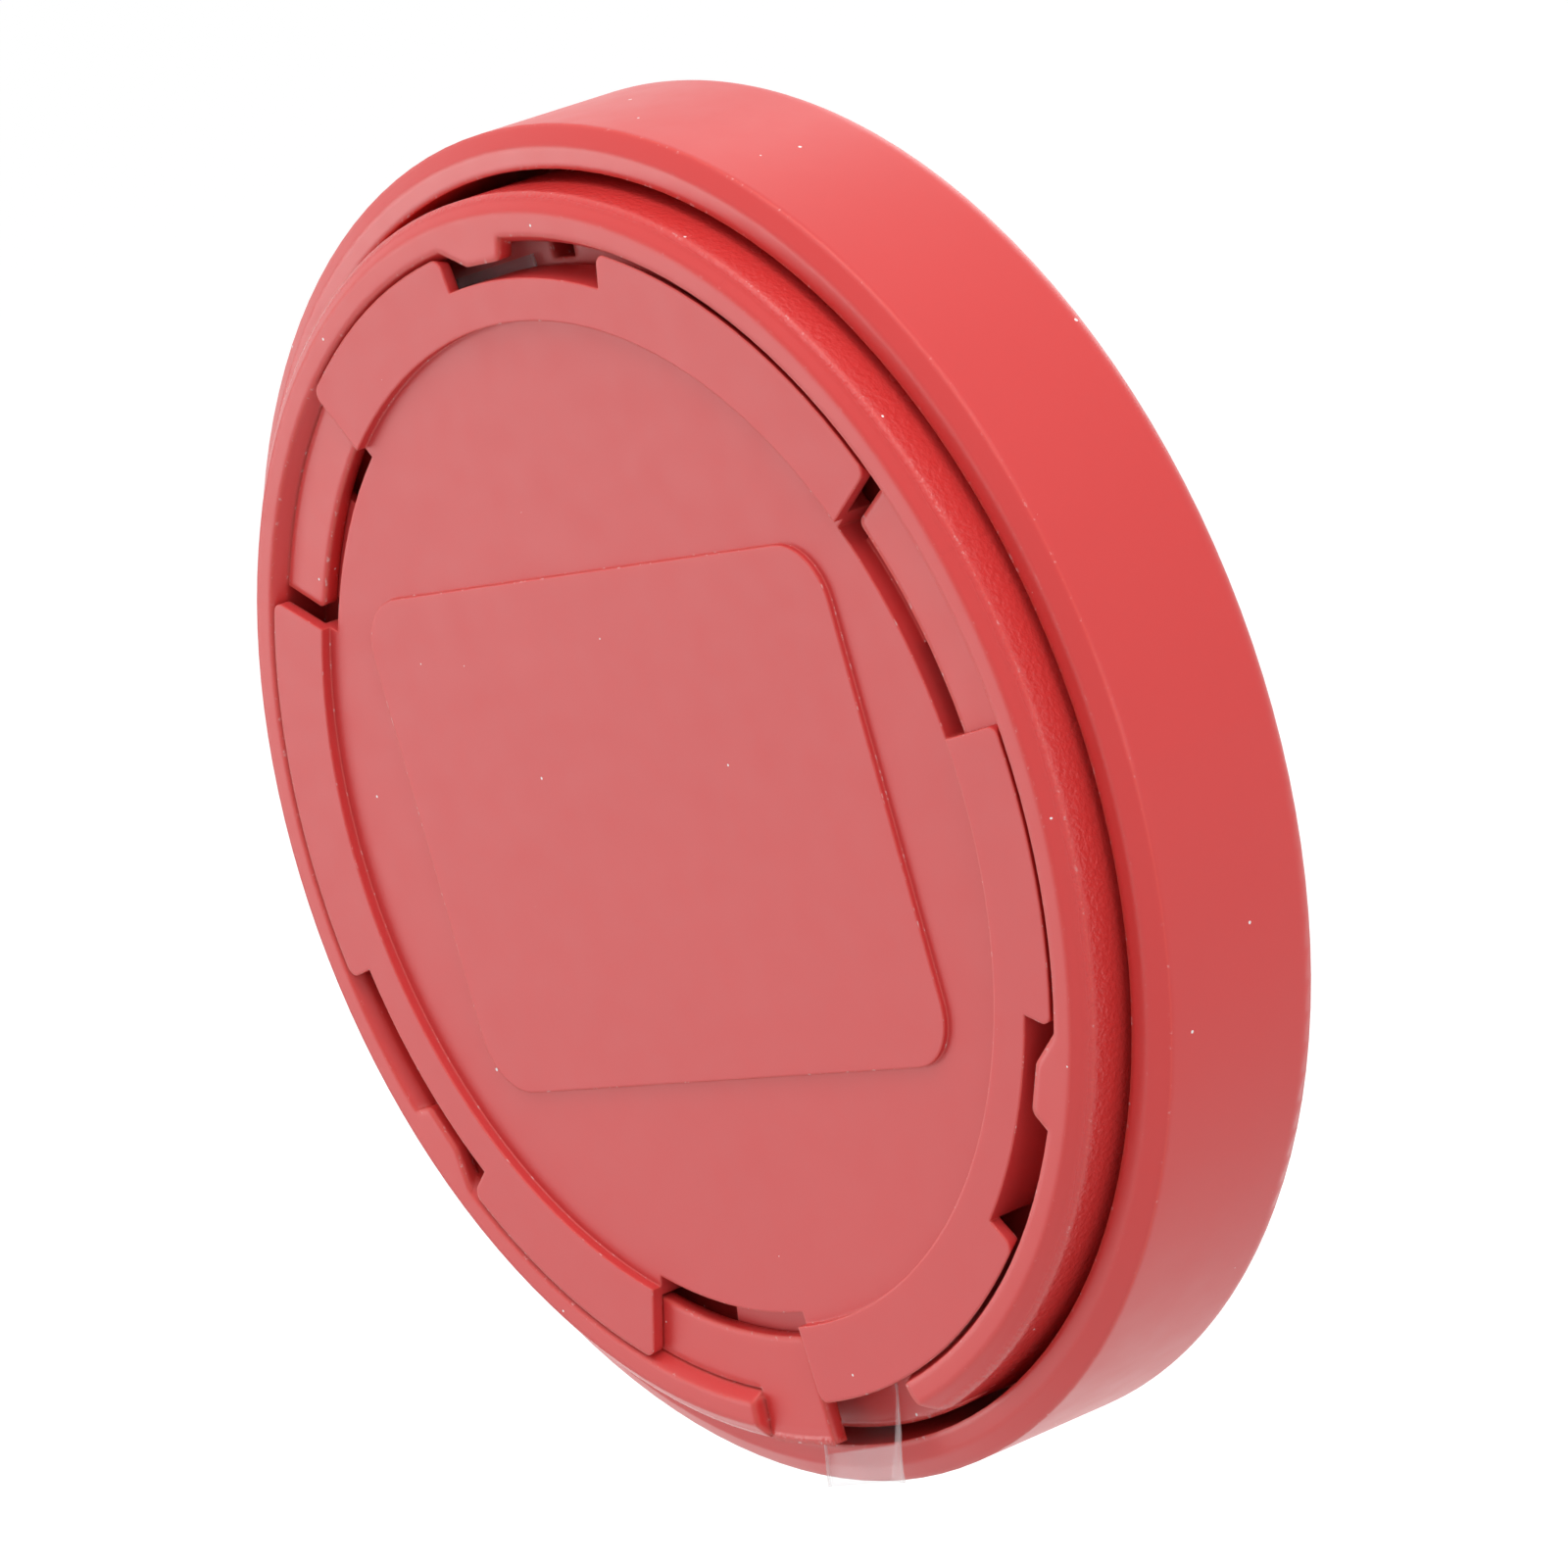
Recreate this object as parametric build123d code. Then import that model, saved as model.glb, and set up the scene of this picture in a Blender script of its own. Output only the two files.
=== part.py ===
"""Round smart button: sprung front cap, base housing, twist-off battery door, cell, pull tab and board.

Millimetres. The button stands upright with its rear face in the XZ plane at Y = 0 and its
front toward -Y; +Z is up. The origin is the centre of the rear face.

Every piece is drawn lying down, seen from behind: x to the right, y up, and depths measured
from the rear face toward the front (depth runs along -z). upright() then stands it up.
Angles run counter-clockwise seen from behind, from x.
"""
from build123d import *
import os
from math import cos, hypot, radians, sin

os.makedirs("parts", exist_ok=True)

OVERRUN = 1.0

# Front cap: a shallow cup whose lip shows round the base
CAP_RADIUS = 25.0
CAP_WALL = 1.5
CAP_PLATE = 1.0
CAP_EDGE_FILLET = 0.7
LIP_DEPTH = 1.75
LIP_FLAT = 0.8
LIP_SLOPE = 0.45
CAP_TRAVEL = 0.3

# Base housing: outer ring, deck and cell well
RING_GAP = 0.5
BASE_WALL = 1.6
RIM_CHAMFER_WIDTH = 0.6
RIM_CHAMFER_DEPTH = 0.5
RIM_LAND = 0.85
RIM_FOOT_STEP = 0.3
DECK_THICKNESS = 1.0
WELL_WALL = 1.0

# Bayonet: three flange segments and three stop teeth on the ring
FOLD = 3
FLANGE_DEPTH = 0.5
FLANGE_THICKNESS = 0.55
FLANGE_REACH = 2.25
FLANGE_START = -5.5
FLANGE_END = 30.6
FLANGE_CORNER = 0.3
GROOVE_WIDTH = 0.12
GROOVE_DEEP = 0.2
GROOVE_END_ANGLE = 0.35
TOOTH_REACH = 0.85
TOOTH_THICKNESS = 0.6
TOOTH_START = 86.8
TOOTH_END = 97.0
TOOTH_TIP_START = 87.6
TOOTH_TIP_END = 93.0
TOOTH_CORNER = 0.35
TOOTH_HOLE_START = 83.8
TOOTH_HOLE_END = 87.4
TOOTH_HOLE_WIDTH = 1.2

# Gap in the ring at the bottom, where the pull tab leaves
GAP_START = 261.2
GAP_END = 286.3
GAP_CORNER = 1.2
GAP_SHELF_STAND = 0.05

# Battery door
DOOR_RIM_CLEARANCE = 0.2
DOOR_RIM_THICKNESS = 0.45
DOOR_RIM_DRAFT = 0.25
DOOR_CORNER = 0.45
DOOR_TWIST = 14.4
PLUG_CLEARANCE = 0.15
PLUG_WALL = 1.35
DISC_BORDER = 0.35
DISC_RECESS = 0.38
DISC_THICKNESS = 0.72
SLOT_START = 6.2
SLOT_END = 32.2
SLOT_INSET = 0.45
NOTCH_WALL = 0.8
NOTCH_RADIAL_GAP = 0.65
NOTCH_STOP_GAP = 0.3
NOTCH_REST_GAP = 0.4
NOTCH_WALL_STEP = 0.4
LUG_REACH = 1.9
LUG_THICKNESS = 0.38
LUG_CLEARANCE = 0.07
LUG_SPAN = 13.0
LUG_EXIT_GAP = 0.5
PANEL_SIDE_MARGIN = 4.65
PANEL_HEIGHT = 18.7
PANEL_RISE = 0.2
PANEL_CORNER = 2.2

# Coin cell, 20 mm across and 3.2 mm high
CELL_RADIUS = 10.0
CELL_HEIGHT = 3.2
CELL_CLEARANCE = 0.3
CELL_EDGE_CHAMFER = 0.35
CELL_WALL = 0.3
CELL_CRIMP = 0.4
CELL_CRIMP_THICKNESS = 0.25
CELL_LID_INSET = 1.25
CELL_LID_DEEP = 1.15
CELL_LID_STAND = 0.2
CELL_SEAL_GAP = 0.02

# Pull tab film: a straight strip over the cell, lifted a little where it leaves
FILM_WIDTH = 5.0
FILM_THICKNESS = 0.1
FILM_INNER_X = -2.5
FILM_INNER_GAP = 1.1
FILM_LEAN_ANGLE = 3.58
FILM_LUG_GAP = 0.1
FILM_WALL_GAP = 0.15
FILM_DECK_GAP = 0.15
FILM_CELL_GAP = 0.05
FILM_LIP_GAP = 0.1
FILM_BEND_INSET = 0.1
FILM_LIFT_INSET = 0.2
FILM_END_INSET = 0.4

# Circuit board and its bosses and screws
CONTACT_SPACE = 0.35
BOARD_THICKNESS = 0.6
BOARD_SEAT = 0.45
BOARD_EDGE_GAP = 0.15
SCREW_INSET = 4.1
SCREW_ANGLE = 110.0
SCREW_RADIUS = 0.7
SCREW_FIT = 0.02
SCREW_HEAD_RADIUS = 1.4
SCREW_HEAD_HEIGHT = 0.6
SCREW_ENGAGE = 1.9
SCREW_HEAD_CHAMFER = 0.2
BOSS_WALL = 1.0
BOARD_HOLE_GAP = 0.15

# Snap hooks of the cap and their ledges in the base
HOOK_ANGLE = 50.0
HOOK_HALF_SPAN = 6.0
HOOK_THICKNESS = 1.2
HOOK_GAP = 0.15
HOOK_NOSE_HEIGHT = 0.9
HOOK_NOSE_GAP = 0.1
HOOK_STOP_GAP = 0.02
HOOK_SIDE_ANGLE = 1.6
LEDGE_REACH = 0.45
LEDGE_HEIGHT = 1.0

# Tactile switch under the centre of the cap
SWITCH_WIDTH = 4.6
SWITCH_HEIGHT = 1.0
SWITCH_FLOOR = 0.2
SWITCH_CAVITY_RADIUS = 1.9
SWITCH_FRAME = 0.15
SWITCH_FRAME_LEG = 0.6
SWITCH_FRAME_LEG_WIDTH = 1.6
SWITCH_CORNER = 0.3
PLUNGER_RADIUS = 1.05
PLUNGER_STAND = 0.4
PLUNGER_FLANGE_RADIUS = 1.6
PLUNGER_FLANGE = 0.11
PLUNGER_GAP = 0.02
PLUNGER_SIDE_GAP = 0.1
DOME_RADIUS = 1.7
DOME_RISE = 0.2
DOME_THICKNESS = 0.06
PUSHER_RADIUS = 2.0
PUSHER_HEIGHT = 0.23
PUSHER_GAP = 0.02

# Spring contacts of the cell
ARM_WIDTH = 3.0
ARM_THICKNESS = 0.2
ARM_OUTSET = 0.6
ARM_TIP_PAST = 1.4
ARM_DOOR_GAP = 0.4
ARM_FOOT = 2.2
ARM_SLOT_GAP = 0.3
NEGATIVE_RING_INSET = 3.75
NEGATIVE_RING_WIDTH = 1.3
NEGATIVE_THICKNESS = 0.15
NEGATIVE_FINGER_WIDTH = 1.2
NEGATIVE_FINGER_LENGTH = 3.4
NEGATIVE_LID_GAP = 0.02

# Light pipe and lamp
LIGHT_INSET = 5.9
LIGHT_RADIUS = 0.9
LIGHT_FIT = 0.02
LIGHT_COLLAR_RADIUS = 1.5
LIGHT_COLLAR = 0.25
LED_LENGTH = 1.6
LED_WIDTH = 0.8
LED_HEIGHT = 0.6

# Rubber pads that stop the cap past its travel
PAD_INSET = 6.4
PAD_ANGLE = 20.0
PAD_RADIUS = 1.2
PAD_CAP_GAP = 0.35
PAD_CHAMFER = 0.15

# Radio module
MODULE_GAP = 3.7
MODULE_WIDTH = 7.0
MODULE_HEIGHT = 9.0
MODULE_THICKNESS = 0.4
MODULE_PAD_PITCH = 1.1
MODULE_PAD_WIDTH = 0.5
MODULE_PAD_DEEP = 0.25
MODULE_PADS = 7
SHIELD_MARGIN = 0.6
SHIELD_TOP_MARGIN = 2.2
SHIELD_HEIGHT = 0.8
SHIELD_WALL = 0.15
SHIELD_CORNER = 0.3

# Small board parts
CRYSTAL_LENGTH = 3.2
CRYSTAL_WIDTH = 1.5
CRYSTAL_HEIGHT = 0.7
CRYSTAL_LID_MARGIN = 0.2
CRYSTAL_LID = 0.15
CRYSTAL_GAP = 1.9
CHIP_LENGTH = 1.6
CHIP_WIDTH = 0.8
CHIP_PITCH = 2.4
CHIP_INSET = 10.0
CHIP_COLUMN_PITCH = 3.4
CHIP_FIRST_Y = 6.0
CAPACITOR_HEIGHT = 0.8
CAPACITOR_COUNT = 4
RESISTOR_HEIGHT = 0.45
RESISTOR_COUNT = 3
CHIP_CAP_LENGTH = 0.35
CHIP_CAP_STAND = 0.03
ANTENNA_X = 3.5
ANTENNA_Y = -8.0
ANTENNA_LEG = 4.5
ANTENNA_PITCH = 1.5
ANTENNA_TRACE = 0.6
ANTENNA_THICKNESS = 0.1
ANTENNA_LEGS = 7

# Sizes that follow from the ones above
CAP_INNER_RADIUS = CAP_RADIUS - CAP_WALL
BASE_RADIUS = CAP_INNER_RADIUS - RING_GAP
BASE_INNER_RADIUS = BASE_RADIUS - BASE_WALL
RIM_MOUTH_RADIUS = BASE_RADIUS - RIM_CHAMFER_WIDTH - RIM_LAND
RIM_FOOT_RADIUS = RIM_MOUTH_RADIUS - RIM_FOOT_STEP
FLANGE_INNER_RADIUS = RIM_FOOT_RADIUS - FLANGE_REACH
TOOTH_TIP_RADIUS = RIM_MOUTH_RADIUS - TOOTH_REACH
DOOR_RADIUS = RIM_MOUTH_RADIUS - DOOR_RIM_CLEARANCE
DOOR_FOOT_RADIUS = DOOR_RADIUS - DOOR_RIM_DRAFT
PLUG_RADIUS = FLANGE_INNER_RADIUS - PLUG_CLEARANCE
DISC_RADIUS = PLUG_RADIUS - DISC_BORDER
SLOT_RADIUS = DISC_RADIUS - SLOT_INSET
PANEL_WIDTH = 2 * (DISC_RADIUS - PANEL_SIDE_MARGIN)
NOTCH_RADIUS = TOOTH_TIP_RADIUS - NOTCH_RADIAL_GAP
NOTCH_START = TOOTH_START - DOOR_TWIST - NOTCH_STOP_GAP
NOTCH_END = TOOTH_END + NOTCH_REST_GAP
LUG_RADIUS = FLANGE_INNER_RADIUS + LUG_REACH
LUG_START = FLANGE_END - DOOR_TWIST + LUG_EXIT_GAP
LUG_END = LUG_START + LUG_SPAN
WELL_RADIUS = CELL_RADIUS + CELL_CLEARANCE
CELL_LID_RADIUS = CELL_RADIUS - CELL_LID_INSET
NEGATIVE_RING_RADIUS = CELL_LID_RADIUS - NEGATIVE_RING_INSET
LEDGE_RADIUS = BASE_INNER_RADIUS - LEDGE_REACH
BOARD_RADIUS = LEDGE_RADIUS - BOARD_EDGE_GAP
HOOK_RADIUS = LEDGE_RADIUS - HOOK_GAP
HOOK_NOSE_RADIUS = BASE_INNER_RADIUS - HOOK_NOSE_GAP
SCREW_CIRCLE = BASE_INNER_RADIUS - SCREW_INSET
PAD_CIRCLE = BASE_INNER_RADIUS - PAD_INSET
LIGHT_Y = BASE_INNER_RADIUS - LIGHT_INSET
MODULE_X = -SWITCH_WIDTH / 2 - MODULE_GAP - MODULE_WIDTH / 2
CHIP_COLUMN = BASE_INNER_RADIUS - CHIP_INSET - CHIP_COLUMN_PITCH
ARM_RISER = WELL_RADIUS + WELL_WALL + ARM_OUTSET

# Depths, one after the other from the rear face to the front
DISC_UNDERSIDE = DISC_RECESS + DISC_THICKNESS
ARM_DEPTH = DISC_UNDERSIDE + ARM_DOOR_GAP
FLANGE_UNDERSIDE = FLANGE_DEPTH + FLANGE_THICKNESS
LUG_DEPTH = FLANGE_UNDERSIDE + LUG_CLEARANCE
PLUG_DEPTH = LUG_DEPTH + LUG_THICKNESS
NOTCH_WALL_DEPTH = PLUG_DEPTH + NOTCH_WALL_STEP
FILM_LIFT_DEPTH = LIP_DEPTH - CAP_TRAVEL - FILM_LIP_GAP - FILM_THICKNESS / 2
FILM_BEND_DEPTH = PLUG_DEPTH + FILM_LUG_GAP + FILM_THICKNESS / 2
FILM_INNER_DEPTH = NOTCH_WALL_DEPTH + FILM_WALL_GAP + FILM_THICKNESS / 2
DECK_DEPTH = FILM_INNER_DEPTH + FILM_THICKNESS / 2 + FILM_DECK_GAP
DECK_UNDERSIDE = DECK_DEPTH + DECK_THICKNESS
CELL_DEPTH = FILM_INNER_DEPTH + FILM_THICKNESS / 2 + FILM_CELL_GAP
CELL_FRONT = CELL_DEPTH + CELL_HEIGHT
BOARD_DEPTH = CELL_FRONT + CONTACT_SPACE
BOARD_FRONT = BOARD_DEPTH + BOARD_THICKNESS
BASE_FRONT = BOARD_DEPTH + BOARD_SEAT
LEDGE_DEPTH = BASE_FRONT - LEDGE_HEIGHT
HOOK_NOSE_FRONT = LEDGE_DEPTH - HOOK_STOP_GAP
HOOK_TIP_DEPTH = HOOK_NOSE_FRONT - HOOK_NOSE_HEIGHT
SWITCH_TOP = BOARD_FRONT + SWITCH_HEIGHT
PLUNGER_TIP = SWITCH_TOP + PLUNGER_STAND
CAP_INNER_DEPTH = PLUNGER_TIP + PUSHER_GAP + PUSHER_HEIGHT
BODY_DEPTH = CAP_INNER_DEPTH + CAP_PLATE


def upright(shape):
    """Stand a piece that was drawn lying down, seen from behind, into the part's own frame."""
    return Plane(origin=(0, 0, 0), x_dir=(-1, 0, 0), z_dir=(0, 1, 0)) * shape


def save(shape, node):
    """Write one piece as one STEP file named after its node."""
    export_step(upright(shape), f"parts/{node}.step")


def slab(outline, near, far):
    """Extrude a flat outline between two depths."""
    return Pos(0, 0, -far) * extrude(outline, far - near)


def turned(outline):
    """Revolve an outline of (radius, depth) points about the button's axis."""
    points = [(radius, 0, -depth) for radius, depth in outline]
    return revolve(make_face(Polyline(*points, close=True)), Axis.Z)


def polar(radius, angle):
    return (radius * cos(radians(angle)), radius * sin(radians(angle)))


def sector(inner, outer, start, end):
    """Flat outline between two radii and two angles."""
    middle = (start + end) / 2
    outside = ThreePointArc(polar(outer, start), polar(outer, middle), polar(outer, end))
    inside = ThreePointArc(polar(inner, start), polar(inner, middle), polar(inner, end))
    first_side = Line(polar(inner, start), polar(outer, start))
    last_side = Line(polar(inner, end), polar(outer, end))
    return Sketch() + make_face([outside, inside, first_side, last_side])


def all_round(shape):
    """The same shape at every step of the button's three-fold symmetry."""
    return [Rot(0, 0, 360 / FOLD * step) * shape for step in range(FOLD)]


def corners_beyond(outline, radius):
    """Vertices of an outline that lie outside a radius."""
    return [v for v in outline.vertices() if hypot(v.X, v.Y) > radius]


def box_at(x, y, length, width, near, far, corner=0):
    """A block on the board, centred on x and y, with rounded upright edges if a corner is given."""
    outline = RectangleRounded(length, width, corner) if corner else Rectangle(length, width)
    return slab(Pos(x, y) * outline, near, far)


def front_cap():
    """Cup with an edge fillet, a sloping lip, a pusher over the switch and three snap hooks."""
    lip_flat_radius = CAP_INNER_RADIUS + LIP_FLAT
    cup = turned([
        (0, BODY_DEPTH),
        (CAP_RADIUS, BODY_DEPTH),
        (CAP_RADIUS, LIP_DEPTH + LIP_SLOPE),
        (lip_flat_radius, LIP_DEPTH),
        (CAP_INNER_RADIUS, LIP_DEPTH),
        (CAP_INNER_RADIUS, CAP_INNER_DEPTH),
        (0, CAP_INNER_DEPTH),
    ])
    front_edge = cup.edges().filter_by(GeomType.CIRCLE).sort_by(Axis.Z)[0]
    cup = fillet(front_edge, CAP_EDGE_FILLET)
    cup += slab(Circle(PUSHER_RADIUS), PLUNGER_TIP + PUSHER_GAP, CAP_INNER_DEPTH)
    for hook in all_round(snap_hook()):
        cup += hook
    light_hole = Pos(0, LIGHT_Y) * Circle(LIGHT_RADIUS + LIGHT_FIT)
    return cup - slab(light_hole, CAP_INNER_DEPTH - OVERRUN, BODY_DEPTH + OVERRUN)


def snap_hook():
    """A curved leg from the cap's plate with a nose that catches behind a ledge of the base."""
    start = HOOK_ANGLE - HOOK_HALF_SPAN
    end = HOOK_ANGLE + HOOK_HALF_SPAN
    leg_inner = HOOK_RADIUS - HOOK_THICKNESS
    leg = slab(sector(leg_inner, HOOK_RADIUS, start, end), HOOK_TIP_DEPTH, CAP_INNER_DEPTH)
    nose = turned([
        (leg_inner, HOOK_NOSE_FRONT),
        (HOOK_NOSE_RADIUS, HOOK_NOSE_FRONT),
        (HOOK_NOSE_RADIUS, HOOK_NOSE_FRONT - HOOK_NOSE_HEIGHT / 2),
        (HOOK_RADIUS, HOOK_TIP_DEPTH),
        (leg_inner, HOOK_TIP_DEPTH),
    ])
    window = slab(sector(leg_inner, CAP_RADIUS, start, end), HOOK_TIP_DEPTH, HOOK_NOSE_FRONT)
    return leg + (nose & window)


def light_pipe():
    """Clear pin through the cap's plate, with a collar behind it."""
    pin = slab(Circle(LIGHT_RADIUS), CAP_INNER_DEPTH, BODY_DEPTH)
    collar = slab(Circle(LIGHT_COLLAR_RADIUS), CAP_INNER_DEPTH - LIGHT_COLLAR, CAP_INNER_DEPTH)
    return Pos(0, LIGHT_Y) * (pin + collar)


def ring_rim():
    """The ring behind the deck: chamfered outside, sloping inside, open at the bottom."""
    rim = turned([
        (RIM_MOUTH_RADIUS, 0),
        (BASE_RADIUS - RIM_CHAMFER_WIDTH, 0),
        (BASE_RADIUS, RIM_CHAMFER_DEPTH),
        (BASE_RADIUS, DECK_DEPTH),
        (RIM_FOOT_RADIUS, DECK_DEPTH),
        (RIM_FOOT_RADIUS, FLANGE_DEPTH),
    ])
    outline = sector(FLANGE_INNER_RADIUS, BASE_RADIUS, GAP_END - 360, GAP_START)
    open_end = polar(BASE_RADIUS, GAP_END)
    corner = outline.vertices().sort_by_distance((*open_end, 0))[0]
    outline = fillet(corner, GAP_CORNER)
    return rim & slab(outline, 0, DECK_DEPTH)


def bayonet_flange():
    """One shelf segment that a lug of the door turns under."""
    outline = sector(FLANGE_INNER_RADIUS, RIM_MOUTH_RADIUS, FLANGE_START, FLANGE_END)
    inner_corners = [v for v in outline.vertices() if hypot(v.X, v.Y) < RIM_FOOT_RADIUS]
    outline = fillet(inner_corners, FLANGE_CORNER)
    return slab(outline, FLANGE_DEPTH, FLANGE_UNDERSIDE)


def flange_groove():
    """Fine groove between a flange and the ring's wall."""
    outline = sector(RIM_FOOT_RADIUS - GROOVE_WIDTH, RIM_FOOT_RADIUS, FLANGE_START, FLANGE_END)
    return slab(outline, FLANGE_DEPTH, FLANGE_DEPTH + GROOVE_DEEP)


def gap_shelf():
    """Shelf that carries the last flange out through the gap, grooved along the ring's end."""
    shelf_end = FLANGE_END + 360 / FOLD * (FOLD - 1)
    outline = sector(FLANGE_INNER_RADIUS + FLANGE_REACH / 2, BASE_RADIUS + GAP_SHELF_STAND, GAP_START, shelf_end)
    groove = sector(RIM_FOOT_RADIUS, BASE_RADIUS + OVERRUN, GAP_START, GAP_START + GROOVE_END_ANGLE)
    return slab(outline, FLANGE_DEPTH, FLANGE_UNDERSIDE) - slab(groove, 0, FLANGE_DEPTH + GROOVE_DEEP)


def stop_tooth():
    """One tooth that stops the door's notch at both ends of its twist."""
    outline = Sketch() + make_face(Polyline(
        polar(RIM_MOUTH_RADIUS + RIM_LAND / 2, TOOTH_START),
        polar(RIM_MOUTH_RADIUS, TOOTH_START),
        polar(TOOTH_TIP_RADIUS, TOOTH_TIP_START),
        polar(TOOTH_TIP_RADIUS, TOOTH_TIP_END),
        polar(RIM_MOUTH_RADIUS, TOOTH_END),
        polar(RIM_MOUTH_RADIUS + RIM_LAND / 2, TOOTH_END),
        close=True,
    ))
    tip_corners = [v for v in outline.vertices() if hypot(v.X, v.Y) < RIM_FOOT_RADIUS]
    outline = fillet(tip_corners, TOOTH_CORNER)
    return slab(outline, 0, TOOTH_THICKNESS)


def base_housing():
    """Ring, deck and cell well in one moulding, with the bayonet, bosses and hook ledges."""
    base = turned([
        (WELL_RADIUS, DECK_DEPTH),
        (BASE_RADIUS, DECK_DEPTH),
        (BASE_RADIUS, BASE_FRONT),
        (BASE_INNER_RADIUS, BASE_FRONT),
        (BASE_INNER_RADIUS, DECK_UNDERSIDE),
        (WELL_RADIUS + WELL_WALL, DECK_UNDERSIDE),
        (WELL_RADIUS + WELL_WALL, CELL_FRONT),
        (WELL_RADIUS, CELL_FRONT),
    ])
    base += ring_rim()
    for flange in all_round(bayonet_flange()):
        base += flange
    for groove in all_round(flange_groove()):
        base -= groove
    base += gap_shelf()
    for tooth in all_round(stop_tooth()):
        base += tooth
    for ledge in all_round(hook_ledge()):
        base += ledge
    for boss in all_round(screw_boss()):
        base += boss
    tooth_hole = sector(BASE_INNER_RADIUS - TOOTH_HOLE_WIDTH, BASE_INNER_RADIUS,
                        TOOTH_HOLE_START, TOOTH_HOLE_END)
    for hole in all_round(slab(tooth_hole, DECK_DEPTH - OVERRUN / 2, DECK_UNDERSIDE + OVERRUN / 2)):
        base -= hole
    arm_slot = Pos(ARM_RISER, 0) * Rectangle(ARM_THICKNESS + 2 * ARM_SLOT_GAP, ARM_WIDTH + 2 * ARM_SLOT_GAP)
    return base - slab(arm_slot, DECK_DEPTH - OVERRUN, DECK_UNDERSIDE + OVERRUN)


def hook_ledge():
    """Inward ledge of the base's wall that a snap hook catches behind."""
    outline = sector(LEDGE_RADIUS, BASE_INNER_RADIUS + BASE_WALL / 2,
                     HOOK_ANGLE - HOOK_HALF_SPAN, HOOK_ANGLE + HOOK_HALF_SPAN)
    return slab(outline, LEDGE_DEPTH, BASE_FRONT)


def screw_boss():
    """Boss under the deck with a pilot hole for one board screw."""
    bore_radius = SCREW_RADIUS + SCREW_FIT
    place = Pos(*polar(SCREW_CIRCLE, SCREW_ANGLE))
    boss = slab(Circle(bore_radius + BOSS_WALL), DECK_UNDERSIDE, BOARD_DEPTH)
    pilot = slab(Circle(bore_radius), BOARD_DEPTH - SCREW_ENGAGE - SCREW_FIT, BOARD_DEPTH)
    return place * (boss - pilot)


def battery_door():
    """Round door: recessed disc with a raised panel, slotted and notched rim, plug and lugs."""
    body = turned([
        (0, DISC_RECESS),
        (DISC_RADIUS, DISC_RECESS),
        (DISC_RADIUS, 0),
        (DOOR_RADIUS, 0),
        (DOOR_FOOT_RADIUS, DOOR_RIM_THICKNESS),
        (PLUG_RADIUS, DOOR_RIM_THICKNESS),
        (PLUG_RADIUS, PLUG_DEPTH),
        (PLUG_RADIUS - PLUG_WALL, PLUG_DEPTH),
        (PLUG_RADIUS - PLUG_WALL, DISC_UNDERSIDE),
        (0, DISC_UNDERSIDE),
    ])
    notch_block = sector(DISC_RADIUS, NOTCH_RADIUS, NOTCH_START, NOTCH_END)
    notch_wall = sector(NOTCH_RADIUS - NOTCH_WALL, NOTCH_RADIUS, NOTCH_START, NOTCH_END)
    for wall in all_round(slab(notch_block, DISC_RECESS, DISC_UNDERSIDE)
                          + slab(notch_wall, DISC_RECESS, NOTCH_WALL_DEPTH)):
        body += wall
    body &= slab(door_outline(), 0, NOTCH_WALL_DEPTH)
    for lug in all_round(slab(sector(SLOT_RADIUS, LUG_RADIUS, LUG_START, LUG_END), LUG_DEPTH, PLUG_DEPTH)):
        body += lug
    panel = RectangleRounded(PANEL_WIDTH, PANEL_HEIGHT, PANEL_CORNER)
    return body + slab(panel, DISC_RECESS - PANEL_RISE, DISC_UNDERSIDE)


def door_outline():
    """The door seen from behind, with three slots and three notches with rounded corners."""
    outline = Sketch() + Circle(DOOR_RADIUS)
    slot = sector(SLOT_RADIUS, DOOR_RADIUS + OVERRUN, SLOT_START, SLOT_END)
    notch = sector(NOTCH_RADIUS, DOOR_RADIUS + OVERRUN, NOTCH_START, NOTCH_END)
    for opening in all_round(slot) + all_round(notch):
        outline -= opening
    return fillet(corners_beyond(outline, NOTCH_RADIUS + NOTCH_RADIAL_GAP), DOOR_CORNER)


def coin_cell_can():
    """Positive can: closed behind, crimped inward over the seal in front."""
    seat_depth = CELL_FRONT - CELL_LID_DEEP
    crimp_front = CELL_FRONT - CELL_LID_STAND
    return turned([
        (0, CELL_DEPTH),
        (CELL_RADIUS - CELL_EDGE_CHAMFER, CELL_DEPTH),
        (CELL_RADIUS, CELL_DEPTH + CELL_EDGE_CHAMFER),
        (CELL_RADIUS, crimp_front),
        (CELL_RADIUS - CELL_WALL - CELL_CRIMP, crimp_front),
        (CELL_RADIUS - CELL_WALL - CELL_CRIMP, crimp_front - CELL_CRIMP_THICKNESS),
        (CELL_RADIUS - CELL_WALL, crimp_front - CELL_CRIMP_THICKNESS),
        (CELL_RADIUS - CELL_WALL, seat_depth),
        (0, seat_depth),
    ])


def coin_cell_gasket():
    """Sealing ring between the can's crimp and the lid."""
    seat_depth = CELL_FRONT - CELL_LID_DEEP
    crimp_back = CELL_FRONT - CELL_LID_STAND - CELL_CRIMP_THICKNESS
    outer = CELL_RADIUS - CELL_WALL - CELL_SEAL_GAP
    inner = CELL_LID_RADIUS + CELL_SEAL_GAP
    return slab(Circle(outer) - Circle(inner), seat_depth + CELL_SEAL_GAP, crimp_back - CELL_SEAL_GAP)


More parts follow.
